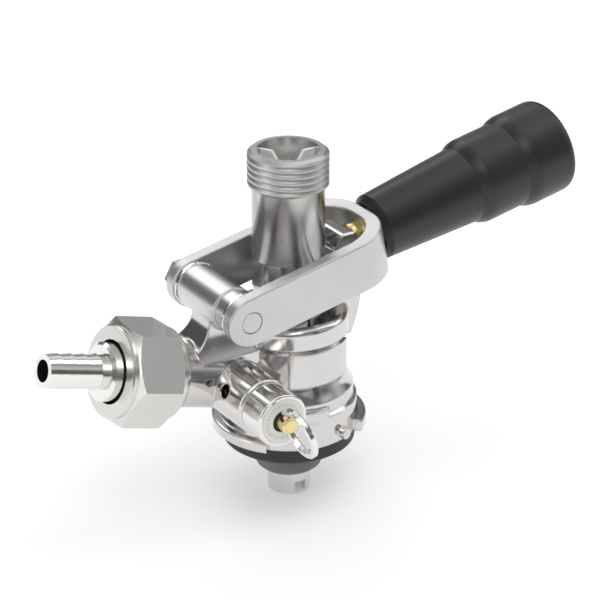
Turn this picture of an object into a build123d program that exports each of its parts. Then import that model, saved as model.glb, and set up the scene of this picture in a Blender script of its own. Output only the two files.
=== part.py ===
"""Lever-handled keg coupler with a twist-lock base, a threaded beer outlet and a side gas inlet.

Frame: Z is the probe's axis, with Z = 0 at the lower edge of the metal base. +X points the way the
handle reaches, -X the way the gas inlet points, and the lever turns about an axis parallel to Y.
All sizes are in millimetres. The lever is modelled pushed down and latched, so the probe is at the
bottom of its stroke; raising the lever draws the probe up into the body.
"""
from build123d import *
from math import cos, radians, sin, sqrt, tan
import os

# ---- clearances -------------------------------------------------------------------------------
RUNNING = 0.05        # radial gap of a shaft in its bore
SLIDING = 0.15        # gap beside a sliding or turning face
SEAT = 0.02           # gap between a screwed or pressed piece and its seat

# ---- standard pipe thread of both ports -------------------------------------------------------
THREAD_R = 11.455
THREAD_LENGTH = 9.9

# ---- body casting -----------------------------------------------------------------------------
BASE_R = 19.7
BASE_TOP = 9.1
SHOULDER_R = 18.6
SHOULDER_TOP = 13.2
WAIST_R = 16.1
FLARE_TOP = 17.0
COLLAR_R = 17.3
COLLAR_BOTTOM = 29.7
BODY_TOP = 36.4
COLLAR_FILLET = 2.2
CHAMBER_R = 13.2      # gas chamber round the probe
CHAMBER_TOP = 21.5
WELL_FLOOR = 31.0     # floor of the open well under the drive flange
GROOVE_DEPTH = 1.5    # O-ring groove in the probe's guide
GROOVE_HEIGHT = 2.4

LUG_R = 22.4
LUG_HEIGHT = 3.4
LUG_SWEEP = 94.0      # each lug's length round the base, in degrees
LUG_CENTRE = -6.0     # middle of the handle-side lug, in degrees from +X
STOP_R = 1.7          # round stop boss beside the lug
STOP_REACH = 2.0
STOP_ANGLE = -72.0

PANEL_R = 17.1        # raised plain panel on the front of the waist
PANEL_BOTTOM = 18.2
PANEL_TOP = 28.6
PANEL_CENTRE = -85.0
PANEL_SWEEP = 74.0
GUSSET_TOP = 11.6     # web between the relief housing and the base

# ---- lever ------------------------------------------------------------------------------------
HINGE_X = -22.7
HINGE_Z = 43.6
LEVER_TILT = 11.4     # how far the latched lever stands above level
LEVER_STROKE = 24.0   # how far it swings up from there
ARM_HALF_HEIGHT = 7.2
ARM_THICKNESS = 4.0
YOKE_HALF_WIDTH = 17.5
YOKE_TIP = 51.0       # outer end of the yoke, measured from the hinge
YOKE_END_WALL = 3.6   # wall at the tip
YOKE_OUTER_CORNER = 13.5
YOKE_INNER_CORNER = 12.0
YOKE_EDGE_FILLET = 0.5
DOG_R = 3.4           # dogs that drive the probe
DOG_REACH = 0.5       # gap from a dog's end to the probe's neck
DOG_PLAY = 0.25       # gap above and below a dog in the probe's groove

# ---- hinge ------------------------------------------------------------------------------------
BARREL_R = 6.6
PIN_R = 3.2
PIN_HEAD_FLATS = 10.0
PIN_HEAD_HEIGHT = 3.4
HINGE_WASHER = 1.2
HINGE_WASHER_R = 6.9
BARREL_NECK_R = 6.15   # the barrel is turned down at its front end
BARREL_NECK = 4.6
POST_HALF_WIDTH = 4.8
POST_FOOT_HALF_WIDTH = 8.2
POST_FOOT_SPREAD = 5.0 # how far its foot spreads along the gas inlet

# ---- latch tower ------------------------------------------------------------------------------
TOWER_R = 43.4        # outer arc, struck from the hinge
TOWER_TOP = 57.2
TOWER_HALF_WIDTH = 6.5
TOWER_GAP = 1.6       # gap from the tower to the probe's tube
DIMPLE_R = 3.0
DIMPLE_DEPTH = 1.1
TOWER_WALL = 2.4
TOWER_BEVEL = 2.2     # slope on the top edge facing the probe
TOWER_BEVEL_DROP = 3.0
TOWER_FILLET = 1.0

# ---- probe ------------------------------------------------------------------------------------
TUBE_R = 10.3
TUBE_BORE_R = 8.8
TUBE_TOP = 84.1
TUBE_BOTTOM = 52.7
NECK_R = 8.0
DRIVE_FLANGE = 2.8    # thickness of the flange under the dogs
STEM_R = 6.25
STEM_BORE_R = 4.4
PROBE_TIP = -21.4
SLOT_WIDTH = 3.5
SLOT_HEIGHT = 3.7
SLOT_COUNT = 2
BALL_R = 5.2
BALL_LIFT = 3.0
VANE_COUNT = 3
VANE_THICKNESS = 1.1
HUB_R = 2.4

# ---- seals ------------------------------------------------------------------------------------
SEAL_R = 19.2
SEAL_DROP = 5.6       # how far the bottom seal stands below the base
SEAL_RECESS = 3.0     # how far it reaches up into the base
TIP_SEAL_R = 9.6
TIP_SEAL_BOTTOM = -14.0
TIP_SEAL_TOP = -4.2

# ---- gas inlet --------------------------------------------------------------------------------
GAS_TILT = 15.8       # how far the inlet points up
GAS_Z = 14.6          # where the inlet's axis meets the probe's axis
GAS_PORT_R = 9.7
GAS_ROOT_R = 13.2      # the inlet flares to this where it leaves the bell
GAS_ROOT_START = 12.0
GAS_ROOT_END = 25.0
GAS_SHOULDER = 41.0   # from the probe's axis to the start of the thread
GAS_BORE_R = 3.4
GAS_POCKET_R = 7.0
GAS_POCKET_DEPTH = 11.0
NUT_FLATS = 27.0
NUT_START = 42.4
NUT_LENGTH = 17.8
NUT_COLLAR_R = 13.0
NUT_COLLAR = 1.6
NUT_LIP = 2.6
NUT_MOUTH_R = 8.95
TAIL_FLANGE_R = 10.0
TAIL_FLANGE = 2.4
TAIL_HUB_R = 8.2
TAIL_HUB_REACH = 3.4  # how far the hub stands out of the nut
TAIL_WASHER = 1.6
BARB_R = 5.0
BARB_NECK_R = 4.65
BARB_COUNT = 4
BARB_PITCH = 4.0
TAIL_END = 81.0
TAIL_BORE_R = 3.1

# ---- relief valve -----------------------------------------------------------------------------
RELIEF_X = -22.0
RELIEF_Z = 19.6
RELIEF_R = 8.4
RELIEF_FACE = 22.8    # from the gas inlet's middle plane to the mouth of its housing
RELIEF_BORE_R = 6.2
RELIEF_FLOOR = 8.3    # depth at which the valve chamber starts
CAP_R = 7.7
CAP_LENGTH = 9.0      # the cap's length outside the housing
CAP_SKIRT = 8.0       # its length inside
CAP_RIM = 1.2
CAP_RECESS = 4.0      # how far the spring's recess reaches into the cap's head
CAP_WALL = 1.6
LABEL_R = 6.45
LABEL_THICKNESS = 0.6
RELIEF_STEM_R = 2.3
RELIEF_STEM_OUT = 3.9 # how far the stem stands out of the cap
RELIEF_COLLAR_DROP = 5.0 # from the cap's skirt to the stem's collar
RELIEF_COLLAR = 1.6
RELIEF_COLLAR_GAP = 0.6
VENT_R = 2.1
VENT_PLACE = 13.7     # from the gas inlet's middle plane
VENT_RISE = 25.0      # how far the vent points up
RING_R = 7.6
RING_BAND = 1.7
RING_THICKNESS = 1.8
RING_EYE_R = 1.55     # cross hole in the stem
RING_EYE_BACK = 2.1   # from the stem's end to the hole
RING_LEAN = 17.0      # how far the hole leans from upright, towards the gas inlet

# ---- handle -----------------------------------------------------------------------------------
PLUNGER_R = 4.4
PLUNGER_BACK = 58.0
ROD_SOCKET = 6.0      # how far the pull rod screws into the plunger
NOSE_LENGTH = 2.2
NOSE_GROOVE = 0.35
NOSE_BEVEL = 1.4
ROD_R = 2.4
SLEEVE_R = 6.6
SLEEVE_END = 84.0
RETAINER = 5.0
GRIP_START = 51.5
GRIP_END = 117.0
GRIP_NEAR_R = 9.8
GRIP_TAPER_R = 11.5
GRIP_STEP_ONE = 84.0
GRIP_MIDDLE_R = 13.0
GRIP_STEP_TWO = 100.0
GRIP_FAR_R = 14.3
GRIP_STEP_RUN = 4.0
GRIP_END_FILLET = 2.6
INSERT_R = 5.4
INSERT_LENGTH = 16.0
SPRING_WIRE_R = 0.45
SPRING_END_GAP = 0.1
RELIEF_SPRING_R = 3.6
PULL_SPRING_R = 3.5
PULL_SPRING_TURNS = 7
RELIEF_SPRING_TURNS = 4

# ---- worked-out places ------------------------------------------------------------------------
LATCHED = radians(LEVER_TILT)
RAISED = radians(LEVER_TILT + LEVER_STROKE)
DOG_S = -HINGE_X * 2 / (cos(LATCHED) + cos(RAISED))
PROBE_TRAVEL = DOG_S * (sin(RAISED) - sin(LATCHED))
DOG_Z = HINGE_Z + DOG_S * sin(LATCHED)
NECK_TOP = DOG_Z + DOG_R + DOG_PLAY
NECK_BOTTOM = DOG_Z - DOG_R - DOG_PLAY
FLANGE_BOTTOM = NECK_BOTTOM - DRIVE_FLANGE
ARM_INNER = YOKE_HALF_WIDTH - ARM_THICKNESS
BARREL_HALF = ARM_INNER - HINGE_WASHER - 2 * SLIDING
GUIDE_MIDDLE = (CHAMBER_TOP + WELL_FLOOR) / 2
NUT_FRONT = NUT_START + NUT_LENGTH
GAS_END = GAS_SHOULDER + THREAD_LENGTH
TAIL_FLANGE_FACE = GAS_END + TAIL_WASHER + 2 * SEAT
COLLAR_BACK = RELIEF_FACE - CAP_SKIRT - RELIEF_COLLAR_DROP
STEM_END = RELIEF_FACE + CAP_LENGTH + RELIEF_STEM_OUT
PLUNGER_TIP = TOWER_R + 0.2
YOKE_INNER_TIP = YOKE_TIP - YOKE_END_WALL
SLEEVE_BORE_R = PLUNGER_R + RUNNING
RETAINER_START = SLEEVE_END - RETAINER
INSERT_START = SLEEVE_END + 2.0

lever_frame = Location((HINGE_X, 0, HINGE_Z), (0, -LEVER_TILT, 0))
gas_axis = (-cos(radians(GAS_TILT)), 0, sin(radians(GAS_TILT)))
gas_up = (sin(radians(GAS_TILT)), 0, cos(radians(GAS_TILT)))
gas_frame = Plane(origin=(0, 0, GAS_Z), x_dir=gas_up, z_dir=gas_axis).location
relief_frame = Plane(origin=(RELIEF_X, 0, RELIEF_Z), x_dir=(1, 0, 0), z_dir=(0, -1, 0)).location


def turned(points, rounds=()):
    """A solid of revolution about Z from a half profile of (radius, height) corners.

    rounds lists (corner index, radius) for the corners that are rounded."""
    corners = [Vector(r, 0, z) for r, z in points]
    outline = Polyline(*corners, close=True)
    face = make_face(outline)
    for index, radius in rounds:
        corner = face.vertices().sort_by_distance(corners[index])[0]
        face = fillet(corner, radius)
    return revolve(face, Axis.Z)


def rod(radius, start, end):
    """A round bar on Z from start to end."""
    return Pos(0, 0, start) * Cylinder(radius, end - start, align=(Align.CENTER, Align.CENTER, Align.MIN))


def ring(outer, inner, start, end):
    """A plain ring on Z from start to end."""
    return rod(outer, start, end) - rod(inner, start - 1, end + 1)


def on_lever(shape):
    """Turns a piece built along Z into one that lies along the lever, from the hinge."""
    return lever_frame * (Rot(0, 90, 0) * shape)


def coil(radius, start, end, turns):
    """A square-wire compression spring on Z between start and end."""
    wire = SPRING_WIRE_R
    height = end - start - 2 * wire
    path = Pos(0, 0, start + wire) * Helix(pitch=height / turns, height=height, radius=radius)
    section = Plane(origin=path @ 0, z_dir=path % 0) * Rectangle(1.6 * wire, 1.6 * wire)
    return sweep(section, path, is_frenet=True)


# ---- body -------------------------------------------------------------------------------------
def lug(middle):
    """One bayonet lug of the base."""
    piece = sector(LUG_R, BASE_R - 2, 0, LUG_HEIGHT, middle, LUG_SWEEP)
    rims = piece.edges().filter_by(GeomType.CIRCLE).group_by(SortBy.RADIUS)[-1]
    return chamfer(rims, 0.4)


def tower():
    """The fin that the handle's plunger rides on, with an arc struck from the hinge."""
    inner = TUBE_R + TOWER_GAP
    foot = GUIDE_MIDDLE
    top_x = HINGE_X + sqrt(TOWER_R ** 2 - (TOWER_TOP - HINGE_Z) ** 2)
    foot_x = HINGE_X + sqrt(TOWER_R ** 2 - (foot - HINGE_Z) ** 2)
    low = (foot_x, 0, foot)
    top_width = top_x - inner
    bevel = min(TOWER_BEVEL, 0.4 * top_width)
    outline = [
        ThreePointArc((top_x, 0, TOWER_TOP), (HINGE_X + TOWER_R, 0, HINGE_Z), low),
        Polyline(low, (inner, 0, foot), (inner, 0, TOWER_TOP - TOWER_BEVEL_DROP),
                 (inner + bevel, 0, TOWER_TOP),
                 (top_x, 0, TOWER_TOP)),
    ]
    fin = extrude(make_face(Curve() + outline), TOWER_HALF_WIDTH, both=True)
    fin = fillet(fin.edges().group_by(Axis.Z)[-1], min(TOWER_FILLET, 0.3 * (top_width - bevel)))
    pocket_x = inner + 1.2
    pocket = Box(2 * pocket_x, 2 * (TOWER_HALF_WIDTH - TOWER_WALL), TOWER_TOP - 5 - BODY_TOP - 1)
    fin -= Pos(0, 0, (TOWER_TOP - 5 + BODY_TOP + 1) / 2) * pocket
    dimple = Rot(0, -90, 0) * Cone(DIMPLE_R, DIMPLE_R - DIMPLE_DEPTH, 2 * DIMPLE_DEPTH)
    return fin - lever_frame * (Pos(TOWER_R, 0, 0) * dimple)


def hinge_post():
    """The barrel on top of its post, which flares out into the gas inlet and the bell."""
    barrel = Rot(90, 0, 0) * Cylinder(BARREL_R, 2 * BARREL_HALF)
    step = ring(BARREL_R + 1, BARREL_NECK_R, BARREL_HALF - BARREL_NECK, BARREL_HALF + 1)
    barrel = Pos(HINGE_X, 0, HINGE_Z) * (barrel - Rot(90, 0, 0) * step)
    left = HINGE_X - BARREL_R + 0.6
    right = HINGE_X + BARREL_R - 1.5
    foot = left - POST_FOOT_SPREAD
    arm_top = GAS_Z - foot * tan(radians(GAS_TILT)) + GAS_PORT_R - 1
    bell_side = -WAIST_R + 1.5
    collar = BODY_TOP - COLLAR_FILLET
    side = make_face(Curve() + [
        ThreePointArc((left, 0, HINGE_Z), (left - 0.9, 0, (HINGE_Z + arm_top) / 2 - 1), (foot, 0, arm_top)),
        Polyline((foot, 0, arm_top), (foot, 0, RELIEF_Z + 3), (bell_side, 0, RELIEF_Z),
                 (bell_side, 0, collar)),
        ThreePointArc((bell_side, 0, collar), (right + 0.4, 0, (HINGE_Z + collar) / 2 - 0.8),
                      (right, 0, HINGE_Z)),
        Line((right, 0, HINGE_Z), (left, 0, HINGE_Z)),
    ])
    slim = POST_HALF_WIDTH
    wide = POST_FOOT_HALF_WIDTH
    waist = HINGE_Z - 4
    low = BODY_TOP - 7
    front = make_face(Curve() + [
        ThreePointArc((0, wide, low), (0, slim + 0.9, waist - 5), (0, slim, waist)),
        Polyline((0, slim, waist), (0, slim, HINGE_Z + 1), (0, -slim, HINGE_Z + 1), (0, -slim, waist)),
        ThreePointArc((0, -slim, waist), (0, -slim - 0.9, waist - 5), (0, -wide, low)),
        Polyline((0, -wide, low), (0, -wide, RELIEF_Z - 2), (0, wide, RELIEF_Z - 2), (0, wide, low)),
    ])
    post = extrude(side, wide + 1, both=True) & extrude(front, -2 * foot, both=True)
    return barrel + post


def gas_root():
    """The flared root of the gas inlet."""
    return revolve(make_face(Curve() + [
        Polyline((GAS_PORT_R, 0, GAS_ROOT_END), (0, 0, GAS_ROOT_END), (0, 0, GAS_ROOT_START),
                 (GAS_ROOT_R, 0, GAS_ROOT_START)),
        ThreePointArc((GAS_ROOT_R, 0, GAS_ROOT_START),
                      (GAS_PORT_R + 0.9, 0, (GAS_ROOT_START + GAS_ROOT_END) / 2 - 1),
                      (GAS_PORT_R, 0, GAS_ROOT_END)),
    ]), Axis.Z)


def bell():
    """The turned outline of the base, waist and collar."""
    waist_low = (WAIST_R, 0, FLARE_TOP + 2.2)
    waist_high = (WAIST_R, 0, COLLAR_BOTTOM - 1.6)
    outline = Curve() + [
        Polyline((0, 0, BODY_TOP), (0, 0, 0), (BASE_R, 0, 0), (BASE_R, 0, BASE_TOP),
                 (SHOULDER_R, 0, BASE_TOP + 0.8), (SHOULDER_R, 0, SHOULDER_TOP)),
        ThreePointArc((SHOULDER_R, 0, SHOULDER_TOP), (SHOULDER_R - 1.0, 0, SHOULDER_TOP + 1.6),
                      (SHOULDER_R - 1.9, 0, FLARE_TOP)),
        ThreePointArc((SHOULDER_R - 1.9, 0, FLARE_TOP), (WAIST_R + 0.15, 0, FLARE_TOP + 1.0), waist_low),
        Line(waist_low, waist_high),
        ThreePointArc(waist_high, (WAIST_R + 0.3, 0, COLLAR_BOTTOM - 0.5),
                      (COLLAR_R, 0, COLLAR_BOTTOM + 0.4)),
        Polyline((COLLAR_R, 0, COLLAR_BOTTOM + 0.4), (COLLAR_R, 0, BODY_TOP), (0, 0, BODY_TOP)),
    ]
    face = make_face(outline)
    face = fillet(face.vertices().sort_by_distance((COLLAR_R, 0, BODY_TOP))[0], COLLAR_FILLET)
    return revolve(face, Axis.Z)


def sector(outer, inner, bottom, top, middle, sweep):
    """A part of a ring, sweep degrees long and centred on the direction middle."""
    half = radians(sweep / 2)
    reach = 2 * outer
    wedge = make_face(Polyline((0, 0), (reach * cos(half), -reach * sin(half)), (reach * 2, 0),
                               (reach * cos(half), reach * sin(half)), close=True))
    wedge = Pos(0, 0, bottom) * extrude(wedge, top - bottom)
    return Rot(0, 0, middle) * (ring(outer, inner, bottom, top) & wedge)


def gusset():
    """The pointed web from the relief housing round to the front of the base."""
    outline = make_face(Polyline((RELIEF_X + 2, -8), (RELIEF_X + 2, -15.5), (-4, -BASE_R), (1, -BASE_R),
                                 (5, -14), (0, -8), close=True))
    return Pos(0, 0, BASE_TOP - 1) * extrude(outline, GUSSET_TOP - BASE_TOP + 1)


def coupler_body():
    """The chromed casting: bell, collar, gas inlet, relief housing, hinge barrel and latch tower."""
    inlet = rod(GAS_PORT_R, 0, GAS_SHOULDER) + rod(THREAD_R, GAS_SHOULDER, GAS_END)
    inlet = chamfer(inlet.edges().group_by(Axis.Z)[-1], 0.9) + gas_root()
    housing = relief_frame * rod(RELIEF_R, -4, RELIEF_FACE)
    housing = fillet(housing.edges().group_by(Axis.Y)[0], 1.0)
    housing = fillet(housing.edges().group_by(Axis.Y)[-1], 2.4)
    body = bell() + gas_frame * inlet + housing + hinge_post() + tower() + gusset()
    body += sector(PANEL_R, WAIST_R - 1, PANEL_BOTTOM, PANEL_TOP, PANEL_CENTRE, PANEL_SWEEP)
    body += [lug(LUG_CENTRE), lug(LUG_CENTRE + 180)]
    stop = Pos(BASE_R - 2, 0, STOP_R + 0.8) * (Rot(0, 90, 0) * rod(STOP_R, 0, 2 + STOP_REACH))
    body += Rot(0, 0, STOP_ANGLE) * stop

    body -= rod(CHAMBER_R, -1, CHAMBER_TOP)
    body -= rod(SEAL_R - 2.2 + SEAT, -1, SEAL_RECESS)
    body -= rod(STEM_R + RUNNING, CHAMBER_TOP - 1, WELL_FLOOR + 1)
    body -= rod(STEM_R + GROOVE_DEPTH, GUIDE_MIDDLE - GROOVE_HEIGHT / 2, GUIDE_MIDDLE + GROOVE_HEIGHT / 2)
    body -= rod(TUBE_R + 0.4, WELL_FLOOR, TOWER_TOP + 1)
    body -= gas_frame * rod(GAS_BORE_R, CHAMBER_R - 2, GAS_END + 1)
    body -= gas_frame * rod(GAS_POCKET_R, GAS_END - GAS_POCKET_DEPTH, GAS_END + 1)
    body -= relief_frame * rod(RELIEF_BORE_R, RELIEF_FLOOR, RELIEF_FACE + 1)
    body -= relief_frame * rod(RELIEF_STEM_R, -1, RELIEF_FACE)
    vent = Pos(0, 0, VENT_PLACE) * (Rot(0, -90, 0) * rod(VENT_R, 0, RELIEF_R + 1))
    body -= relief_frame * (Rot(0, 0, -VENT_RISE) * vent)
    body -= Pos(HINGE_X, 0, HINGE_Z) * (Rot(90, 0, 0) * Cylinder(PIN_R + RUNNING, 3 * BARREL_HALF))
    return body


def bottom_seal():
    """The black rubber seal that presses on the keg valve's rim."""
    spigot = SEAL_R - 2.2
    hole = TIP_SEAL_R + 0.6
    return turned([(hole, SEAL_RECESS - SEAT), (spigot, SEAL_RECESS - SEAT), (spigot, -SEAT),
                   (SEAL_R, -SEAT), (SEAL_R, -SEAL_DROP + 1.6), (SEAL_R - 2.2, -SEAL_DROP),
                   (hole, -SEAL_DROP)], [(4, 1.0), (5, 1.0)])


# ---- gas inlet --------------------------------------------------------------------------------
def gas_check_valve():
    """The rubber duckbill that stops beer from running back up the gas line."""
    start = GAS_END - GAS_POCKET_DEPTH
    sleeve = ring(GAS_POCKET_R - 0.2, 4.2, start + 4.5, GAS_END - SEAT)
    bill = rod(4.9, start + 1.0, start + 5.0) - rod(4.2, start + 3.4, start + 6)
    return gas_frame * (sleeve + bill - Pos(0, 0, start + 2) * Box(0.5, 6.4, 6))


def gas_washer():
    """The sealing washer between the inlet's end and the tailpiece."""
    start = GAS_END + SEAT
    return gas_frame * ring(TAIL_FLANGE_R - 0.4, GAS_POCKET_R - 2.2, start, start + TAIL_WASHER)


def gas_hose_nut():
    """The hexagonal union nut, with turned collars at both ends and its lip round the tailpiece."""
    blank = extrude(RegularPolygon(NUT_FLATS / 2, 6, major_radius=False), NUT_LENGTH - 2 * NUT_COLLAR)
    corner = NUT_FLATS / 2 / cos(radians(30))
    slope = (corner - NUT_COLLAR_R) * tan(radians(30))
    hexagon = NUT_LENGTH - 2 * NUT_COLLAR
    blank &= turned([(0, 0), (NUT_COLLAR_R, 0), (corner, slope), (corner, hexagon - slope),
                     (NUT_COLLAR_R, hexagon), (0, hexagon)])
    nut = Pos(0, 0, NUT_START + NUT_COLLAR) * (Rot(0, 0, 30) * blank)
    collar = rod(NUT_COLLAR_R, NUT_START, NUT_FRONT)
    nut += chamfer(collar.edges().filter_by(GeomType.CIRCLE), 0.35)
    nut -= rod(THREAD_R + SEAT, NUT_START - 1, NUT_FRONT - NUT_LIP)
    nut -= rod(NUT_MOUTH_R, NUT_START, NUT_FRONT + 1)
    return gas_frame * nut


def hose_tailpiece():
    """The barbed hose stem that the nut pulls against the washer."""
    face = TAIL_FLANGE_FACE
    hub_end = NUT_FRONT + TAIL_HUB_REACH
    barb_start = TAIL_END - BARB_COUNT * BARB_PITCH
    points = [(TAIL_BORE_R, face), (TAIL_FLANGE_R, face), (TAIL_FLANGE_R, face + TAIL_FLANGE),
              (TAIL_HUB_R, face + TAIL_FLANGE), (TAIL_HUB_R, hub_end - 0.8), (TAIL_HUB_R - 0.8, hub_end),
              (BARB_NECK_R, hub_end)]
    for index in range(BARB_COUNT):
        root = barb_start + index * BARB_PITCH
        points.append((BARB_NECK_R, root))
        points.append((BARB_R, root + 0.15))
    points += [(BARB_NECK_R, TAIL_END), (TAIL_BORE_R, TAIL_END)]
    return gas_frame * turned(points)


# ---- relief valve -----------------------------------------------------------------------------
def relief_cap():
    """The turned cap that screws into the housing and holds the spring."""
    outside = rod(CAP_R, RELIEF_FACE, RELIEF_FACE + CAP_LENGTH)
    outside = fillet(outside.edges().filter_by(GeomType.CIRCLE), 0.6)
    cap = outside + rod(RELIEF_BORE_R - SEAT, RELIEF_FACE - CAP_SKIRT, RELIEF_FACE + 1)
    cap -= rod(CAP_R - CAP_RIM, RELIEF_FACE + CAP_LENGTH - LABEL_THICKNESS, RELIEF_FACE + CAP_LENGTH + 1)
    cap -= rod(RELIEF_STEM_R + RUNNING, RELIEF_FACE - CAP_SKIRT - 1, RELIEF_FACE + CAP_LENGTH)
    cap -= rod(RELIEF_BORE_R - CAP_WALL, RELIEF_FACE - CAP_SKIRT - 1, RELIEF_FACE + CAP_RECESS)
    return relief_frame * cap


def relief_label():
    """The plain white disc let into the cap's face."""
    end = RELIEF_FACE + CAP_LENGTH
    return relief_frame * ring(LABEL_R, RELIEF_STEM_R + 0.9, end - LABEL_THICKNESS, end)


def relief_stem():
    """The brass stem, with a collar under the spring and a cross hole for the ring."""
    stem = rod(RELIEF_STEM_R, COLLAR_BACK - 2, STEM_END)
    stem = fillet(stem.edges().filter_by(GeomType.CIRCLE).group_by(Axis.Z)[-1], 0.5)
    stem += rod(RELIEF_BORE_R - RELIEF_COLLAR_GAP, COLLAR_BACK, COLLAR_BACK + RELIEF_COLLAR)
    eye = Pos(0, 0, STEM_END - RING_EYE_BACK) * (Rot(90, 0, 0) * Cylinder(RING_EYE_R, 4 * RELIEF_STEM_R))
    return relief_frame * (Rot(0, 0, RING_LEAN) * (stem - eye))


def relief_seat_disc():
    """The rubber disc that the stem presses on the valve's seat."""
    return relief_frame * ring(RELIEF_BORE_R - 1.0, RELIEF_STEM_R, RELIEF_FLOOR + SEAT, COLLAR_BACK - SEAT)


def relief_spring():
    """The spring that holds the relief valve shut."""
    start = COLLAR_BACK + RELIEF_COLLAR + SPRING_END_GAP
    end = RELIEF_FACE + CAP_RECESS - SPRING_END_GAP
    return relief_frame * coil(RELIEF_SPRING_R, start, end, RELIEF_SPRING_TURNS)


def relief_pull_ring():
    """The flat pull ring through the stem's cross hole, standing straight out from the stem."""
    band = Rot(0, 90, 0) * ring(RING_R, RING_R - RING_BAND, -RING_THICKNESS / 2, RING_THICKNESS / 2)
    band = chamfer(band.edges().filter_by(GeomType.CIRCLE), 0.3)
    middle = RING_R - RING_BAND / 2
    sag = middle - sqrt(middle ** 2 - RELIEF_STEM_R ** 2)
    centre = STEM_END - RING_EYE_BACK + middle - sag / 2
    return relief_frame * (Rot(0, 0, RING_LEAN) * (Pos(0, 0, centre) * band))


# ---- lever ------------------------------------------------------------------------------------
def rounded_end(back, tip, half, corner):
    """A flat bar outline from back to tip whose far corners are rounded."""
    bar = make_face(Polyline((back, -half), (tip, -half), (tip, half), (back, half), close=True))
    return fillet(bar.vertices().group_by(Axis.X)[-1], corner)


def lever_yoke():
    """The forked lever: two arms round the probe, hinge bosses, dogs and the end wall."""
    half = YOKE_HALF_WIDTH
    back = -ARM_HALF_HEIGHT
    outer = rounded_end(back, YOKE_TIP, half, YOKE_OUTER_CORNER)
    window = rounded_end(back - 1, YOKE_INNER_TIP, ARM_INNER, YOKE_INNER_CORNER)
    high = ARM_HALF_HEIGHT
    plate = extrude(outer - window, high, both=True)
    side = Plane.XZ * make_face(Curve() + [
        Polyline((0, high), (YOKE_TIP + 1, high), (YOKE_TIP + 1, -high), (0, -high)),
        ThreePointArc((0, -high), (-high, 0), (0, high)),
    ])
    yoke = plate & extrude(side, half + 1, both=True)
    rims = [e for e in yoke.edges() if abs(abs(e.center().Z) - high) < 0.01]
    yoke = fillet(rims, YOKE_EDGE_FILLET)
    dog = Cylinder(DOG_R, ARM_INNER - NECK_R - DOG_REACH + 1)
    middle = (ARM_INNER + NECK_R + DOG_REACH + 1) / 2
    for side_sign in (1, -1):
        yoke += Pos(DOG_S, side_sign * middle, 0) * (Rot(90, 0, 0) * dog)
    yoke -= Rot(90, 0, 0) * Cylinder(PIN_R + SEAT, 3 * half)
    yoke -= Rot(0, 90, 0) * rod(SLEEVE_R + SEAT, YOKE_INNER_TIP + 1.6, YOKE_TIP + 1)
    yoke -= Rot(0, 90, 0) * rod(SLEEVE_BORE_R, YOKE_INNER_TIP - 3, YOKE_TIP)
    return lever_frame * yoke


def hinge_pin():
    """The bolt through both arms and the barrel, with its hexagonal head behind the rear arm."""
    face = YOKE_HALF_WIDTH
    shank = rod(PIN_R, -face, face + SEAT)
    head = Pos(0, 0, face + SEAT) * extrude(RegularPolygon(PIN_HEAD_FLATS / 2, 6, major_radius=False),
                                            PIN_HEAD_HEIGHT)
    pin = chamfer(shank.edges().group_by(Axis.Z)[0], 0.3) + head
    return Pos(HINGE_X, 0, HINGE_Z) * (Rot(-90, 0, 0) * pin)


def hinge_washer(side_sign):
    """A thrust washer between an arm and the barrel."""
    washer = ring(HINGE_WASHER_R, PIN_R + 0.1, -HINGE_WASHER / 2, HINGE_WASHER / 2)
    washer = chamfer(washer.edges().filter_by(GeomType.CIRCLE).sort_by(SortBy.RADIUS)[-2:], 0.3)
    middle = BARREL_HALF + SLIDING + HINGE_WASHER / 2
    return Pos(HINGE_X, side_sign * middle, HINGE_Z) * (Rot(90, 0, 0) * washer)


def guide_sleeve():
    """The steel sleeve that screws into the yoke and carries the sliding grip."""
    start = YOKE_INNER_TIP + 1.6 + SEAT
    sleeve = rod(SLEEVE_R, start, SLEEVE_END)
    sleeve = chamfer(sleeve.edges().group_by(Axis.Z)[-1], 0.4)
    return on_lever(sleeve - rod(SLEEVE_BORE_R, start - 1, SLEEVE_END + 1))


def spring_retainer():
    """The plug that closes the sleeve and guides the pull rod."""
    return on_lever(ring(SLEEVE_BORE_R - SEAT, ROD_R + RUNNING, RETAINER_START, SLEEVE_END))


def pull_spring():
    """The spring that pushes the plunger towards the tower."""
    return on_lever(coil(PULL_SPRING_R, PLUNGER_BACK + SPRING_END_GAP, RETAINER_START - SPRING_END_GAP,
                         PULL_SPRING_TURNS))


# ---- sliding handle ---------------------------------------------------------------------------
def latch_plunger():
    """The brass plunger with a grooved, domed nose that bears on the tower."""
    shoulder = PLUNGER_TIP + NOSE_LENGTH
    root = PLUNGER_R - NOSE_GROOVE
    back = PLUNGER_BACK - ROD_SOCKET
    return on_lever(turned([(0, PLUNGER_TIP), (PLUNGER_R - NOSE_BEVEL, PLUNGER_TIP),
                            (PLUNGER_R, PLUNGER_TIP + 0.9), (PLUNGER_R, shoulder), (root, shoulder + 0.15),
                            (root, shoulder + 0.45), (PLUNGER_R, shoulder + 0.6), (PLUNGER_R, PLUNGER_BACK),
                            (ROD_R, PLUNGER_BACK), (ROD_R, back), (0, back)]))


def pull_rod():
    """The steel rod from the plunger to the grip."""
    return on_lever(rod(ROD_R - SEAT, PLUNGER_BACK - ROD_SOCKET + SEAT, INSERT_START + INSERT_LENGTH - 2))


def grip_insert():
    """The threaded insert moulded into the grip."""
    end = INSERT_START + INSERT_LENGTH
    insert = rod(INSERT_R, INSERT_START, end) - rod(ROD_R, INSERT_START - 1, end - 1)
    groove = ring(INSERT_R + 1, INSERT_R - 0.7, -0.8, 0.8)
    for share in (0.33, 0.67):
        insert -= Pos(0, 0, INSERT_START + share * INSERT_LENGTH) * groove
    return on_lever(insert)


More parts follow.
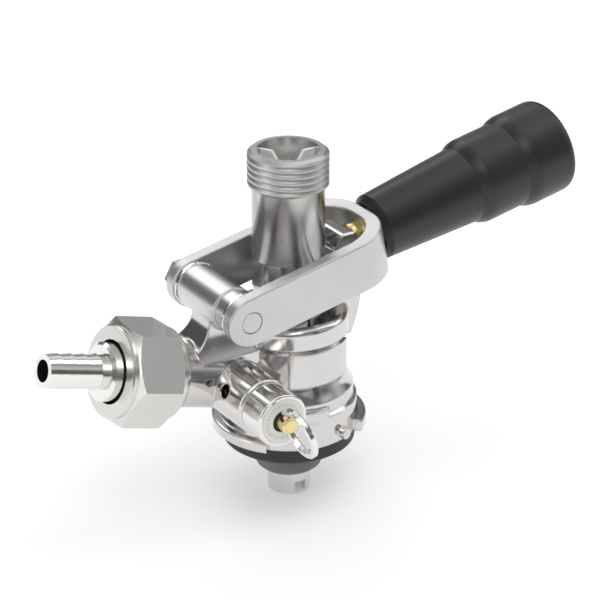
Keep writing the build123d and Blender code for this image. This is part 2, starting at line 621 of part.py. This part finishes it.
def hand_grip():
    """The black stepped grip that slides on the sleeve."""
    run = GRIP_STEP_RUN
    with BuildSketch(Plane.XZ) as section:
        with BuildLine():
            Polyline((0, GRIP_START), (GRIP_NEAR_R - 1.6, GRIP_START), (GRIP_NEAR_R, GRIP_START + 1.6),
                     (GRIP_TAPER_R, GRIP_STEP_ONE))
            Spline((GRIP_TAPER_R, GRIP_STEP_ONE), (GRIP_MIDDLE_R, GRIP_STEP_ONE + run),
                   tangents=[(0.55, 1), (0.05, 1)])
            Line((GRIP_MIDDLE_R, GRIP_STEP_ONE + run), (GRIP_MIDDLE_R, GRIP_STEP_TWO))
            Spline((GRIP_MIDDLE_R, GRIP_STEP_TWO), (GRIP_FAR_R, GRIP_STEP_TWO + run),
                   tangents=[(0.55, 1), (0.05, 1)])
            Polyline((GRIP_FAR_R, GRIP_STEP_TWO + run), (GRIP_FAR_R, GRIP_END), (0, GRIP_END),
                     (0, GRIP_START))
        make_face()
    grip = revolve(section.sketch, Axis.Z)
    grip = fillet(grip.edges().group_by(Axis.Z)[-1], GRIP_END_FILLET)
    grip -= rod(SLEEVE_R + SLIDING, GRIP_START - 1, INSERT_START)
    grip -= rod(INSERT_R, INSERT_START - 1, INSERT_START + INSERT_LENGTH)
    for share in (0.33, 0.67):
        place = Pos(0, 0, INSERT_START + share * INSERT_LENGTH)
        grip += place * ring(INSERT_R + 0.1, INSERT_R - 0.7, -0.8, 0.8)
    return on_lever(grip)


# ---- probe ------------------------------------------------------------------------------------
def probe_tube():
    """The stainless probe: threaded outlet, tube, driven neck, flange and slotted lower stem."""
    thread_bottom = TUBE_TOP - THREAD_LENGTH
    seat_z = NECK_TOP + 2.0
    probe = turned([
        (STEM_BORE_R, PROBE_TIP), (STEM_R, PROBE_TIP), (STEM_R, FLANGE_BOTTOM), (TUBE_R, FLANGE_BOTTOM),
        (TUBE_R, NECK_BOTTOM), (NECK_R, NECK_BOTTOM), (NECK_R, NECK_TOP), (NECK_R + 1.2, NECK_TOP),
        (TUBE_R, TUBE_BOTTOM), (TUBE_R, thread_bottom - 1.0), (THREAD_R, thread_bottom),
        (THREAD_R, TUBE_TOP - 0.9), (THREAD_R - 1.2, TUBE_TOP), (TUBE_BORE_R, TUBE_TOP),
        (TUBE_BORE_R, seat_z + 4.0), (BALL_R + 0.6, seat_z + 1.5), (STEM_BORE_R, seat_z)],
        [(3, 0.5), (11, 0.5)])
    slot = Pos(0, 0, PROBE_TIP + SLOT_HEIGHT / 2) * Box(2 * STEM_R, SLOT_WIDTH, SLOT_HEIGHT)
    for index in range(SLOT_COUNT):
        turn = -90 + index * 360 / SLOT_COUNT
        probe -= Rot(0, 0, turn) * (Pos(STEM_R, 0, 0) * slot)
    return probe


def probe_tip_seal():
    """The grey seal on the probe's stem, which closes the keg valve's gas way."""
    return turned([(STEM_R + SEAT, TIP_SEAL_BOTTOM), (TIP_SEAL_R - 1.4, TIP_SEAL_BOTTOM),
                   (TIP_SEAL_R, TIP_SEAL_BOTTOM + 1.2), (TIP_SEAL_R, TIP_SEAL_TOP),
                   (STEM_R + SEAT, TIP_SEAL_TOP)], [(2, 0.8)])


def probe_o_ring():
    """The O-ring in the body that seals the probe's stem."""
    seal = ring(STEM_R + GROOVE_DEPTH - SEAT, STEM_R + RUNNING, GUIDE_MIDDLE - 0.75, GUIDE_MIDDLE + 0.75)
    return chamfer(seal.edges().filter_by(GeomType.CIRCLE), 0.4)


def ball_rest():
    """Height of the check ball's middle when it rests on its seat."""
    return NECK_TOP + 2.0 + sqrt(BALL_R ** 2 - STEM_BORE_R ** 2) + 0.3


def check_ball():
    """The check ball that keeps beer from draining back."""
    return Pos(0, 0, ball_rest()) * Sphere(BALL_R)


def ball_cage():
    """The three-vaned cage over the ball, held by spring fit in the tube's mouth."""
    floor = ball_rest() + BALL_R + BALL_LIFT + 0.2
    top = TUBE_TOP - 1.4
    hub = ring(HUB_R, HUB_R - 0.9, floor, top - 4.2)
    cage = hub + ring(TUBE_BORE_R - SEAT, TUBE_BORE_R - 1.0, floor + 0.6, floor + 3.2)
    reach = TUBE_BORE_R - SLIDING
    vane = make_face(Polyline((HUB_R - 0.4, 0, floor), (reach, 0, floor), (reach, 0, top),
                              (reach - 3.6, 0, top), (HUB_R + 0.3, 0, top - 3.6), (HUB_R - 0.4, 0, top - 4.4),
                              close=True))
    blade = extrude(vane, VANE_THICKNESS / 2, both=True)
    for index in range(VANE_COUNT):
        cage += Rot(0, 0, index * 360 / VANE_COUNT) * blade
    return cage


pieces = {
    "coupler_body": coupler_body,
    "bottom_seal": bottom_seal,
    "gas_check_valve": gas_check_valve,
    "gas_washer": gas_washer,
    "gas_hose_nut": gas_hose_nut,
    "hose_tailpiece": hose_tailpiece,
    "relief_cap": relief_cap,
    "relief_label": relief_label,
    "relief_stem": relief_stem,
    "relief_seat_disc": relief_seat_disc,
    "relief_spring": relief_spring,
    "relief_pull_ring": relief_pull_ring,
    "lever_yoke": lever_yoke,
    "hinge_pin": hinge_pin,
    "hinge_washer_rear": lambda: hinge_washer(1),
    "hinge_washer_front": lambda: hinge_washer(-1),
    "guide_sleeve": guide_sleeve,
    "spring_retainer": spring_retainer,
    "pull_spring": pull_spring,
    "latch_plunger": latch_plunger,
    "pull_rod": pull_rod,
    "grip_insert": grip_insert,
    "hand_grip": hand_grip,
    "probe_tube": probe_tube,
    "probe_tip_seal": probe_tip_seal,
    "probe_o_ring": probe_o_ring,
    "ball_cage": ball_cage,
    "check_ball": check_ball,
}

os.makedirs("parts", exist_ok=True)
for name, make in pieces.items():
    export_step(make(), f"parts/{name}.step")
print(f"probe travel {PROBE_TRAVEL:.3f} mm, dogs {DOG_S:.3f} mm from the hinge at Z {DOG_Z:.3f}")
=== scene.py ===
import math
import bpy
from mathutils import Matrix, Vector


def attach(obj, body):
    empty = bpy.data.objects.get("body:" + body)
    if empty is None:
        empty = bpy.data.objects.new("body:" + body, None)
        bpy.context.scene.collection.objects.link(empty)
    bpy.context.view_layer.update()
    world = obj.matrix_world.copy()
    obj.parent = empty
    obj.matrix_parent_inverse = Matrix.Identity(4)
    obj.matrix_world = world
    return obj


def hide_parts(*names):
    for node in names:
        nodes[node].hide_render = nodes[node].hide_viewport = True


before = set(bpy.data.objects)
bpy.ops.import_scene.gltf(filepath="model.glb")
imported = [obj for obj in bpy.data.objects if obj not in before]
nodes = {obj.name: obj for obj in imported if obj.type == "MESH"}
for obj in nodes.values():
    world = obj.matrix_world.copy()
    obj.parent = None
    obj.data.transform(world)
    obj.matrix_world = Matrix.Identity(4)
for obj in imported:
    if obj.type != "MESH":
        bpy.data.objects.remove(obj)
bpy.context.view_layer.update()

print("frame loaded")


# Small helpers for the node trees.

def addNode(tree, kind, place=(0, 0), **settings):
    node = tree.nodes.new(kind)
    node.location = place
    for key, value in settings.items():
        setattr(node, key, value)
    return node


def setInputs(node, values):
    for key, value in values.items():
        node.inputs[key].default_value = value


def setRamp(ramp, stops):
    elements = ramp.color_ramp.elements
    for index, (position, colour) in enumerate(stops):
        element = elements[index] if index < 2 else elements.new(position)
        element.position = position
        element.color = colour


def grey(value):
    return (value, value, value, 1)


# Makes a finish duller within reach of a line that runs along Y.
def addSatin(tree, coords, worn, shader, satin):
    offset = addNode(tree, "ShaderNodeVectorMath", (-1100, 700), operation="SUBTRACT")
    offset.inputs[1].default_value = satin["centre"]
    flat = addNode(tree, "ShaderNodeVectorMath", (-900, 700), operation="MULTIPLY")
    flat.inputs[1].default_value = (1, 0, 1)
    reach = addNode(tree, "ShaderNodeVectorMath", (-700, 700), operation="LENGTH")
    fade = addNode(tree, "ShaderNodeMapRange", (-500, 700))
    setInputs(fade, {"From Min": satin["reach"], "From Max": satin["reach"] * 1.12, "To Min": satin["rough"],
                     "To Max": 0.0})
    duller = addNode(tree, "ShaderNodeMath", (-250, 300), operation="MAXIMUM")
    tree.links.new(coords.outputs["Object"], offset.inputs[0])
    tree.links.new(offset.outputs["Vector"], flat.inputs[0])
    tree.links.new(flat.outputs["Vector"], reach.inputs[0])
    tree.links.new(reach.outputs["Value"], fade.inputs["Value"])
    tree.links.new(fade.outputs["Result"], duller.inputs[0])
    tree.links.new(worn.outputs["Value"], duller.inputs[1])
    tree.links.new(duller.outputs["Value"], shader.inputs["Roughness"])


# A finish has a base colour, a slow roughness drift, fine bump noise (its stretch is 1 on every axis)
# and a faint film of handling marks.
def makeFinish(name, look):
    material = bpy.data.materials.new(name)
    material.use_nodes = True
    tree = material.node_tree
    shader = tree.nodes["Principled BSDF"]
    setInputs(shader, {"Metallic": look["metal"], "IOR": look.get("ior", 1.5)})
    coords = addNode(tree, "ShaderNodeTexCoord", (-1500, 0))

    drift = addNode(tree, "ShaderNodeTexNoise", (-1100, 300))
    setInputs(drift, {"Scale": look["driftScale"], "Detail": 5, "Roughness": 0.6})
    tree.links.new(coords.outputs["Object"], drift.inputs["Vector"])

    stretch = addNode(tree, "ShaderNodeMapping", (-1300, -200))
    stretch.inputs["Scale"].default_value = look["lineStretch"]
    lines = addNode(tree, "ShaderNodeTexNoise", (-1100, -200))
    setInputs(lines, {"Scale": look["lineScale"], "Detail": 3, "Roughness": 0.7})
    tree.links.new(coords.outputs["Object"], stretch.inputs["Vector"])
    tree.links.new(stretch.outputs["Vector"], lines.inputs["Vector"])

    spots = addNode(tree, "ShaderNodeTexNoise", (-1100, -600))
    setInputs(spots, {"Scale": look["spotScale"], "Detail": 8, "Roughness": 0.75})
    tree.links.new(coords.outputs["Object"], spots.inputs["Vector"])
    spotMask = addNode(tree, "ShaderNodeValToRGB", (-900, -600))
    setRamp(spotMask, [(0.56, grey(0)), (0.74, grey(1))])
    tree.links.new(spots.outputs["Fac"], spotMask.inputs["Fac"])

    rough = addNode(tree, "ShaderNodeMapRange", (-700, 300))
    setInputs(rough, {"From Min": 0.3, "From Max": 0.7,
                      "To Min": look["rough"][0], "To Max": look["rough"][1]})
    tree.links.new(drift.outputs["Fac"], rough.inputs["Value"])
    worn = addNode(tree, "ShaderNodeMath", (-450, 200), operation="MULTIPLY_ADD")
    worn.inputs[1].default_value = look["spotRough"]
    tree.links.new(spotMask.outputs["Color"], worn.inputs[0])
    tree.links.new(rough.outputs["Result"], worn.inputs[2])
    tree.links.new(worn.outputs["Value"], shader.inputs["Roughness"])
    if "satin" in look:
        addSatin(tree, coords, worn, shader, look["satin"])

    tint = addNode(tree, "ShaderNodeMix", (-450, 500), data_type="RGBA")
    tint.inputs["A"].default_value = (*look["colour"], 1)
    tint.inputs["B"].default_value = (*look["tint"], 1)
    tree.links.new(drift.outputs["Fac"], tint.inputs["Factor"])
    film = addNode(tree, "ShaderNodeMix", (-200, 500), data_type="RGBA")
    film.inputs["B"].default_value = (*look["film"], 1)
    filmAmount = addNode(tree, "ShaderNodeMath", (-450, -600), operation="MULTIPLY")
    filmAmount.inputs[1].default_value = look["filmAmount"]
    tree.links.new(spotMask.outputs["Color"], filmAmount.inputs[0])
    tree.links.new(filmAmount.outputs["Value"], film.inputs["Factor"])
    tree.links.new(tint.outputs["Result"], film.inputs["A"])
    tree.links.new(film.outputs["Result"], shader.inputs["Base Color"])

    bump = addNode(tree, "ShaderNodeBump", (-450, -200))
    setInputs(bump, {"Strength": look["bump"], "Distance": look["bumpDepth"]})
    if look["edge"] > 0:
        rounding = addNode(tree, "ShaderNodeBevel", (-700, -300), samples=6)
        rounding.inputs["Radius"].default_value = look["edge"]
        tree.links.new(rounding.outputs["Normal"], bump.inputs["Normal"])
    tree.links.new(lines.outputs["Fac"], bump.inputs["Height"])
    tree.links.new(bump.outputs["Normal"], shader.inputs["Normal"])
    return material


def metal(colour, rough, **changes):
    look = {"colour": colour, "tint": [c * 0.94 for c in colour], "film": [c * 0.7 for c in colour],
            "metal": 1.0, "rough": rough, "driftScale": 60, "lineScale": 900, "lineStretch": (1, 1, 1),
            "spotScale": 160, "spotRough": 0.05, "filmAmount": 0.15, "bump": 0.04, "bumpDepth": 0.0001,
            "edge": 0.0}
    look.update(changes)
    return look


def soft(colour, rough, **changes):
    look = metal(colour, rough, metal=0.0, bump=0.12, tint=[c * 1.15 for c in colour],
                 film=[min(1, c * 1.5 + 0.02) for c in colour])
    look.update(changes)
    return look


looks = {
    "castChrome": metal((0.68, 0.665, 0.655), (0.09, 0.15), edge=0.0009,
                        satin={"centre": (-0.0227, 0, 0.0436), "reach": 0.0069, "rough": 0.30}),
    "chromePlate": metal((0.80, 0.785, 0.77), (0.09, 0.15), edge=0.0003),
    "tubeChrome": metal((0.78, 0.77, 0.76), (0.20, 0.26)),
    "turnedNickel": metal((0.72, 0.71, 0.69), (0.20, 0.30), lineStretch=(1, 1, 1), bump=0.08),
    "brightNickel": metal((0.86, 0.85, 0.83), (0.10, 0.16)),
    "threadMetal": metal((0.55, 0.54, 0.53), (0.36, 0.46), bump=0.10),
    "blastedSteel": metal((0.64, 0.63, 0.62), (0.34, 0.42), lineScale=2500, bump=0.10, edge=0.0003),
    "wireSteel": metal((0.55, 0.55, 0.55), (0.22, 0.32)),
    "turnedBrass": metal((0.86, 0.72, 0.36), (0.14, 0.24), film=(0.45, 0.33, 0.14), filmAmount=0.3),
    "gripPlastic": soft((0.015, 0.015, 0.015), (0.33, 0.42), lineScale=1800, bump=0.10, spotRough=0.08,
                        filmAmount=0.25),
    "blackRubber": soft((0.022, 0.022, 0.022), (0.50, 0.62), lineScale=1500, filmAmount=0.3),
    "greyRubber": soft((0.16, 0.16, 0.165), (0.45, 0.58), lineScale=1500, filmAmount=0.2),
    "palePlastic": soft((0.88, 0.88, 0.87), (0.32, 0.42), lineScale=1200, filmAmount=0.1,
                        film=(0.55, 0.55, 0.53)),
    "labelWhite": soft((0.86, 0.86, 0.86), (0.45, 0.55), lineScale=1600, film=(0.62, 0.62, 0.60),
                       filmAmount=0.15, tint=(0.83, 0.83, 0.83)),
    "ballWhite": soft((0.78, 0.78, 0.75), (0.20, 0.28), film=(0.6, 0.6, 0.56), tint=(0.75, 0.75, 0.72)),
    "fibre": soft((0.55, 0.52, 0.44), (0.6, 0.75), film=(0.4, 0.37, 0.3), tint=(0.52, 0.49, 0.42)),
    "inkGrey": soft((0.58, 0.58, 0.59), (0.5, 0.6)),
    "inkRed": soft((0.80, 0.36, 0.36), (0.5, 0.6)),
}
finishes = {name: makeFinish(name, look) for name, look in looks.items()}
print("finishes made")

wears = {
    "coupler_body": "castChrome", "relief_cap": "chromePlate", "probe_tube": "tubeChrome",
    "bottom_seal": "blackRubber", "relief_seat_disc": "blackRubber", "probe_o_ring": "blackRubber",
    "probe_tip_seal": "greyRubber", "gas_check_valve": "greyRubber", "gas_washer": "fibre",
    "gas_hose_nut": "turnedNickel", "hose_tailpiece": "brightNickel", "relief_pull_ring": "brightNickel",
    "hinge_washer_rear": "brightNickel", "hinge_washer_front": "brightNickel",
    "relief_label": "labelWhite", "relief_stem": "turnedBrass", "latch_plunger": "turnedBrass",
    "spring_retainer": "turnedBrass", "grip_insert": "turnedBrass",
    "lever_yoke": "blastedSteel", "hinge_pin": "blastedSteel", "guide_sleeve": "blastedSteel",
    "relief_spring": "wireSteel", "pull_spring": "wireSteel", "pull_rod": "wireSteel",
    "hand_grip": "gripPlastic", "ball_cage": "palePlastic", "check_ball": "ballWhite",
}
for name, node in nodes.items():
    node.data.materials.clear()
    node.data.materials.append(finishes[wears[name]])
print("finishes on the carried-over nodes")


# Helpers for the geometry trees.

def newTree(name, sockets):
    tree = bpy.data.node_groups.new(name, "GeometryNodeTree")
    for socketName, kind in sockets:
        tree.interface.new_socket(socketName, in_out="INPUT", socket_type=kind)
    tree.interface.new_socket("Geometry", in_out="OUTPUT", socket_type="NodeSocketGeometry")
    return tree, tree.nodes.new("NodeGroupInput"), tree.nodes.new("NodeGroupOutput")


# Runs a tree on a mesh and leaves a plain object at the origin.
def bake(name, tree, values, mesh=None):
    source = bpy.data.objects.new(name + "Source", mesh or bpy.data.meshes.new(name + "Seed"))
    bpy.context.scene.collection.objects.link(source)
    modifier = source.modifiers.new("Build", "NODES")
    modifier.node_group = tree
    for item in tree.interface.items_tree:
        if item.item_type == "SOCKET" and item.in_out == "INPUT" and item.name in values:
            modifier[item.identifier] = values[item.name]
    graph = bpy.context.evaluated_depsgraph_get()
    made = bpy.data.meshes.new_from_object(source.evaluated_get(graph))
    bpy.data.objects.remove(source)
    made.name = name
    piece = bpy.data.objects.new(name, made)
    bpy.context.scene.collection.objects.link(piece)
    return piece


def link(tree, start, end):
    tree.links.new(start, end)


# The outlet's thread: a V groove wound round the top of the tube is cut out of a copy of it.
threadSizes = {"crest": 0.011455, "depth": 0.00075, "pitch": 0.001814, "bottom": 0.0745, "top": 0.0850,
               "flank": 0.00046, "samples": 96}


def threadTree(sizes):
    tree, given, result = newTree("threadCut", [
        ("Tube", "NodeSocketGeometry"), ("Turns", "NodeSocketFloat"), ("Height", "NodeSocketFloat"),
        ("Crest", "NodeSocketFloat"), ("Bottom", "NodeSocketFloat"), ("Finish", "NodeSocketMaterial")])
    helix = addNode(tree, "GeometryNodeCurveSpiral")
    helix.inputs["Resolution"].default_value = sizes["samples"]
    link(tree, given.outputs["Turns"], helix.inputs["Rotations"])
    link(tree, given.outputs["Crest"], helix.inputs["Start Radius"])
    link(tree, given.outputs["Crest"], helix.inputs["End Radius"])
    link(tree, given.outputs["Height"], helix.inputs["Height"])
    lift = addNode(tree, "GeometryNodeTransform")
    place = addNode(tree, "ShaderNodeCombineXYZ")
    link(tree, given.outputs["Bottom"], place.inputs["Z"])
    link(tree, place.outputs["Vector"], lift.inputs["Translation"])
    link(tree, helix.outputs["Curve"], lift.inputs["Geometry"])
    upright = addNode(tree, "GeometryNodeSetCurveNormal", mode="Z_UP")
    link(tree, lift.outputs["Geometry"], upright.inputs["Curve"])
    groove = addNode(tree, "GeometryNodeCurvePrimitiveQuadrilateral", mode="POINTS")
    half = sizes["flank"]
    deep = sizes["depth"]
    setInputs(groove, {"Point 1": (deep, -half * 0.2, 0), "Point 2": (deep, half * 0.2, 0),
                       "Point 3": (-0.0002, half * 1.2, 0), "Point 4": (-0.0002, -half * 1.2, 0)})
    sweep = addNode(tree, "GeometryNodeCurveToMesh")
    sweep.inputs["Fill Caps"].default_value = True
    link(tree, upright.outputs["Curve"], sweep.inputs["Curve"])
    link(tree, groove.outputs["Curve"], sweep.inputs["Profile Curve"])
    weld = addNode(tree, "GeometryNodeMergeByDistance")
    weld.inputs["Distance"].default_value = 0.000001
    link(tree, given.outputs["Tube"], weld.inputs["Geometry"])
    cut = addNode(tree, "GeometryNodeMeshBoolean", operation="DIFFERENCE", solver="EXACT")
    link(tree, weld.outputs["Geometry"], cut.inputs["Mesh 1"])
    link(tree, sweep.outputs["Mesh"], cut.inputs["Mesh 2"])
    realize = addNode(tree, "GeometryNodeRealizeInstances")
    link(tree, cut.outputs["Mesh"], realize.inputs["Geometry"])
    wear = addNode(tree, "GeometryNodeSetMaterial")
    link(tree, realize.outputs["Geometry"], wear.inputs["Geometry"])
    link(tree, given.outputs["Finish"], wear.inputs["Material"])
    link(tree, wear.outputs["Geometry"], result.inputs["Geometry"])
    return tree


tubeCopy = nodes["probe_tube"].data.copy()
height = threadSizes["top"] - threadSizes["bottom"]
outlet = bake("threadedProbe", threadTree(threadSizes), {
    "Turns": height / threadSizes["pitch"], "Height": height, "Crest": threadSizes["crest"],
    "Bottom": threadSizes["bottom"], "Finish": finishes["tubeChrome"]}, tubeCopy)
outlet.data.materials.append(finishes["threadMetal"])
for face in outlet.data.polygons:
    centre = face.center
    outside = math.hypot(centre.x, centre.y) > 0.0096
    face.material_index = len(outlet.data.materials) - 1 if centre.z > 0.0738 and outside else 0
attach(outlet, "probe")
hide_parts("probe_tube")
print("outlet thread cut", len(outlet.data.polygons))


# Plain marks round the relief label, in place of any lettering.
markSizes = {"radius": 0.0050, "count": 34, "size": (0.00085, 0.00028, 0.00006), "redEvery": 5,
             "centre": (-0.0220, -0.03184, 0.0196)}


def markTree():
    tree, given, result = newTree("labelMarks", [
        ("Count", "NodeSocketInt"), ("Radius", "NodeSocketFloat"), ("Size", "NodeSocketVector"),
        ("Centre", "NodeSocketVector"), ("Red Every", "NodeSocketInt"), ("Grey Ink", "NodeSocketMaterial"),
        ("Red Ink", "NodeSocketMaterial")])
    circle = addNode(tree, "GeometryNodeMeshCircle")
    link(tree, given.outputs["Count"], circle.inputs["Vertices"])
    link(tree, given.outputs["Radius"], circle.inputs["Radius"])
    mark = addNode(tree, "GeometryNodeMeshCube")
    link(tree, given.outputs["Size"], mark.inputs["Size"])
    position = addNode(tree, "GeometryNodeInputPosition")
    turn = addNode(tree, "FunctionNodeAlignRotationToVector", axis="X")
    link(tree, position.outputs["Position"], turn.inputs["Vector"])
    index = addNode(tree, "GeometryNodeInputIndex")
    shares = addNode(tree, "ShaderNodeMath", operation="MODULO")
    link(tree, index.outputs["Index"], shares.inputs[0])
    link(tree, given.outputs["Red Every"], shares.inputs[1])
    isRed = addNode(tree, "FunctionNodeCompare", data_type="FLOAT", operation="LESS_THAN")
    isRed.inputs["B"].default_value = 0.5
    link(tree, shares.outputs["Value"], isRed.inputs["A"])
    join = addNode(tree, "GeometryNodeJoinGeometry")
    for wanted, ink in (("Red Ink", True), ("Grey Ink", False)):
        chosen = isRed.outputs["Result"]
        if not ink:
            flip = addNode(tree, "FunctionNodeBooleanMath", operation="NOT")
            link(tree, chosen, flip.inputs[0])
            chosen = flip.outputs["Boolean"]
        spread = addNode(tree, "GeometryNodeInstanceOnPoints")
        link(tree, circle.outputs["Mesh"], spread.inputs["Points"])
        link(tree, chosen, spread.inputs["Selection"])
        link(tree, mark.outputs["Mesh"], spread.inputs["Instance"])
        link(tree, turn.outputs["Rotation"], spread.inputs["Rotation"])
        realize = addNode(tree, "GeometryNodeRealizeInstances")
        link(tree, spread.outputs["Instances"], realize.inputs["Geometry"])
        wear = addNode(tree, "GeometryNodeSetMaterial")
        link(tree, realize.outputs["Geometry"], wear.inputs["Geometry"])
        link(tree, given.outputs[wanted], wear.inputs["Material"])
        link(tree, wear.outputs["Geometry"], join.inputs["Geometry"])
    stand = addNode(tree, "GeometryNodeTransform")
    stand.inputs["Rotation"].default_value = (math.pi / 2, 0, 0)
    link(tree, join.outputs["Geometry"], stand.inputs["Geometry"])
    link(tree, given.outputs["Centre"], stand.inputs["Translation"])
    link(tree, stand.outputs["Geometry"], result.inputs["Geometry"])
    return tree


marks = bake("labelMarks", markTree(), {
    "Count": markSizes["count"], "Radius": markSizes["radius"], "Size": markSizes["size"],
    "Centre": markSizes["centre"], "Red Every": markSizes["redEvery"], "Grey Ink": finishes["inkGrey"],
    "Red Ink": finishes["inkRed"]})
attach(marks, "body")
print("label marks set out", len(marks.data.polygons))

# Painted shade: a dark ring in the black rubber finish, laid in the well round the stem and seen through the
# label's hole, stands in for the shade there.
stemShadeSizes = {"inner": 0.00236, "outer": 0.00318, "centre": (-0.0220, -0.03130, 0.0196), "sides": 64}


def ringMesh(name, sizes, finish):
    mesh = bpy.data.meshes.new(name)
    count = sizes["sides"]
    centre = Vector(sizes["centre"])
    points = []
    for radius in (sizes["inner"], sizes["outer"]):
        for step in range(count):
            turn = math.tau * step / count
            points.append(centre + Vector((radius * math.cos(turn), 0, radius * math.sin(turn))))
    faces = [(a, (a + 1) % count, count + (a + 1) % count, count + a) for a in range(count)]
    mesh.from_pydata(points, [], faces)
    mesh.materials.append(finish)
    made = bpy.data.objects.new(name, mesh)
    bpy.context.scene.collection.objects.link(made)
    return made


# This ring is painted shade, not a part of the coupler.
stemShadeRing = ringMesh("stemPaintedShade", stemShadeSizes, finishes["blackRubber"])
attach(stemShadeRing, "body")

# The floor, lamps, cards and camera of the studio.

studio = {
    "floorZ": -0.0216, "floorGlow": 0.24, "floorColour": (0.95, 0.95, 0.95, 1), "background": (1, 1, 1, 1),
    "rise": [(0.0, 0.6), (0.48, 0.50), (0.56, 0.42), (0.72, 0.58), (1.0, 0.85)],
    "patchScale": 1.6, "patchLow": 0.30, "patchHigh": 1.45,
    "soft": [
        {"place": (-0.35, -0.75, 1.05), "size": (0.7, 0.5), "power": 1.9},
        {"place": (0.85, -0.15, 0.75), "size": (0.5, 0.9), "power": 1.9},
        {"place": (-0.9, 0.1, 0.35), "size": (0.3, 0.8), "power": 1.4},
        {"place": (0.1, 0.9, 0.8), "size": (0.9, 0.4), "power": 1.7},
    ],
    "cards": [
        {"place": (0.30, -0.85, 0.10), "size": (0.16, 0.6)},
        {"place": (0.55, 0.45, 0.20), "size": (0.35, 0.5)},
        {"place": (-0.45, 0.65, 0.25), "size": (0.25, 0.5)},
    ],
    "lens": 137.54, "eye": (-0.3167, -0.4992, 0.3108), "target": (0.00276, -0.00177, 0.03815),
}


def facing(place, target=(0, 0, 0.03)):
    return (Vector(target) - Vector(place)).to_track_quat("-Z", "Y")


def plane(name, width, depth, material):
    mesh = bpy.data.meshes.new(name)
    w, d = width / 2, depth / 2
    mesh.from_pydata([(-w, -d, 0), (w, -d, 0), (w, d, 0), (-w, d, 0)], [], [(0, 1, 2, 3)])
    mesh.materials.append(material)
    made = bpy.data.objects.new(name, mesh)
    bpy.context.scene.collection.objects.link(made)
    return made


floorMaterial = bpy.data.materials.new("floorPaper")
floorMaterial.use_nodes = True
setInputs(floorMaterial.node_tree.nodes["Principled BSDF"],
          {"Base Color": studio["floorColour"], "Roughness": 0.9, "Emission Color": grey(1),
           "Emission Strength": studio["floorGlow"]})
floor = plane("floor", 6, 6, floorMaterial)
floor.location.z = studio["floorZ"]

cardMaterial = bpy.data.materials.new("cardBlack")
cardMaterial.use_nodes = True
setInputs(cardMaterial.node_tree.nodes["Principled BSDF"], {"Base Color": grey(0.10), "Roughness": 0.9})
for index, card in enumerate(studio["cards"]):
    made = plane(f"card{index}", *card["size"], cardMaterial)
    made.location = card["place"]
    made.rotation_mode = "QUATERNION"
    made.rotation_quaternion = facing(card["place"])
    made.visible_camera = False
    made.visible_shadow = False
    made.visible_diffuse = False

for index, lamp in enumerate(studio["soft"]):
    light = bpy.data.lights.new(f"soft{index}", "AREA")
    light.shape = "RECTANGLE"
    light.size, light.size_y = lamp["size"]
    light.energy = lamp["power"]
    made = bpy.data.objects.new(f"soft{index}", light)
    made.location = lamp["place"]
    made.rotation_mode = "QUATERNION"
    made.rotation_quaternion = facing(lamp["place"])
    bpy.context.scene.collection.objects.link(made)

world = bpy.data.worlds.new("studio")
bpy.context.scene.world = world
world.use_nodes = True
tree = world.node_tree
backdrop = tree.nodes["Background"]
paths = addNode(tree, "ShaderNodeLightPath", (-600, 300))
ray = addNode(tree, "ShaderNodeNewGeometry", (-1500, 0))
parts = addNode(tree, "ShaderNodeSeparateXYZ", (-1300, 100))
slope = addNode(tree, "ShaderNodeMapRange", (-1100, 100))
setInputs(slope, {"From Min": 1.0, "From Max": -1.0})
rise = addNode(tree, "ShaderNodeValToRGB", (-900, 100))
setRamp(rise, [(place, grey(value)) for place, value in studio["rise"]])
patches = addNode(tree, "ShaderNodeTexNoise", (-1100, -250))
setInputs(patches, {"Scale": studio["patchScale"], "Detail": 2, "Roughness": 0.4})
patchRamp = addNode(tree, "ShaderNodeMapRange", (-900, -250))
setInputs(patchRamp, {"From Min": 0.38, "From Max": 0.62, "To Min": studio["patchLow"],
                      "To Max": studio["patchHigh"]})
shade = addNode(tree, "ShaderNodeMix", (-600, 0), data_type="RGBA", blend_type="MULTIPLY")
shade.inputs["Factor"].default_value = 1
seen = addNode(tree, "ShaderNodeMix", (-300, 0), data_type="RGBA")
seen.inputs["B"].default_value = studio["background"]
tree.links.new(ray.outputs["Incoming"], parts.inputs["Vector"])
tree.links.new(parts.outputs["Z"], slope.inputs["Value"])
tree.links.new(slope.outputs["Result"], rise.inputs["Fac"])
tree.links.new(ray.outputs["Incoming"], patches.inputs["Vector"])
tree.links.new(patches.outputs["Fac"], patchRamp.inputs["Value"])
tree.links.new(rise.outputs["Color"], shade.inputs["A"])
tree.links.new(patchRamp.outputs["Result"], shade.inputs["B"])
tree.links.new(shade.outputs["Result"], seen.inputs["A"])
tree.links.new(paths.outputs["Is Camera Ray"], seen.inputs["Factor"])
tree.links.new(seen.outputs["Result"], backdrop.inputs["Color"])
setInputs(backdrop, {"Strength": 1.0})

camera = bpy.data.cameras.new("view")
camera.lens = studio["lens"]
camera.sensor_width = 36
camera.clip_start = 0.01
eye = bpy.data.objects.new("view", camera)
eye.location = studio["eye"]
eye.rotation_mode = "QUATERNION"
eye.rotation_quaternion = facing(studio["eye"], studio["target"])
bpy.context.scene.collection.objects.link(eye)
bpy.context.scene.camera = eye
bpy.context.scene.view_settings.view_transform = "Standard"
print("studio lit")
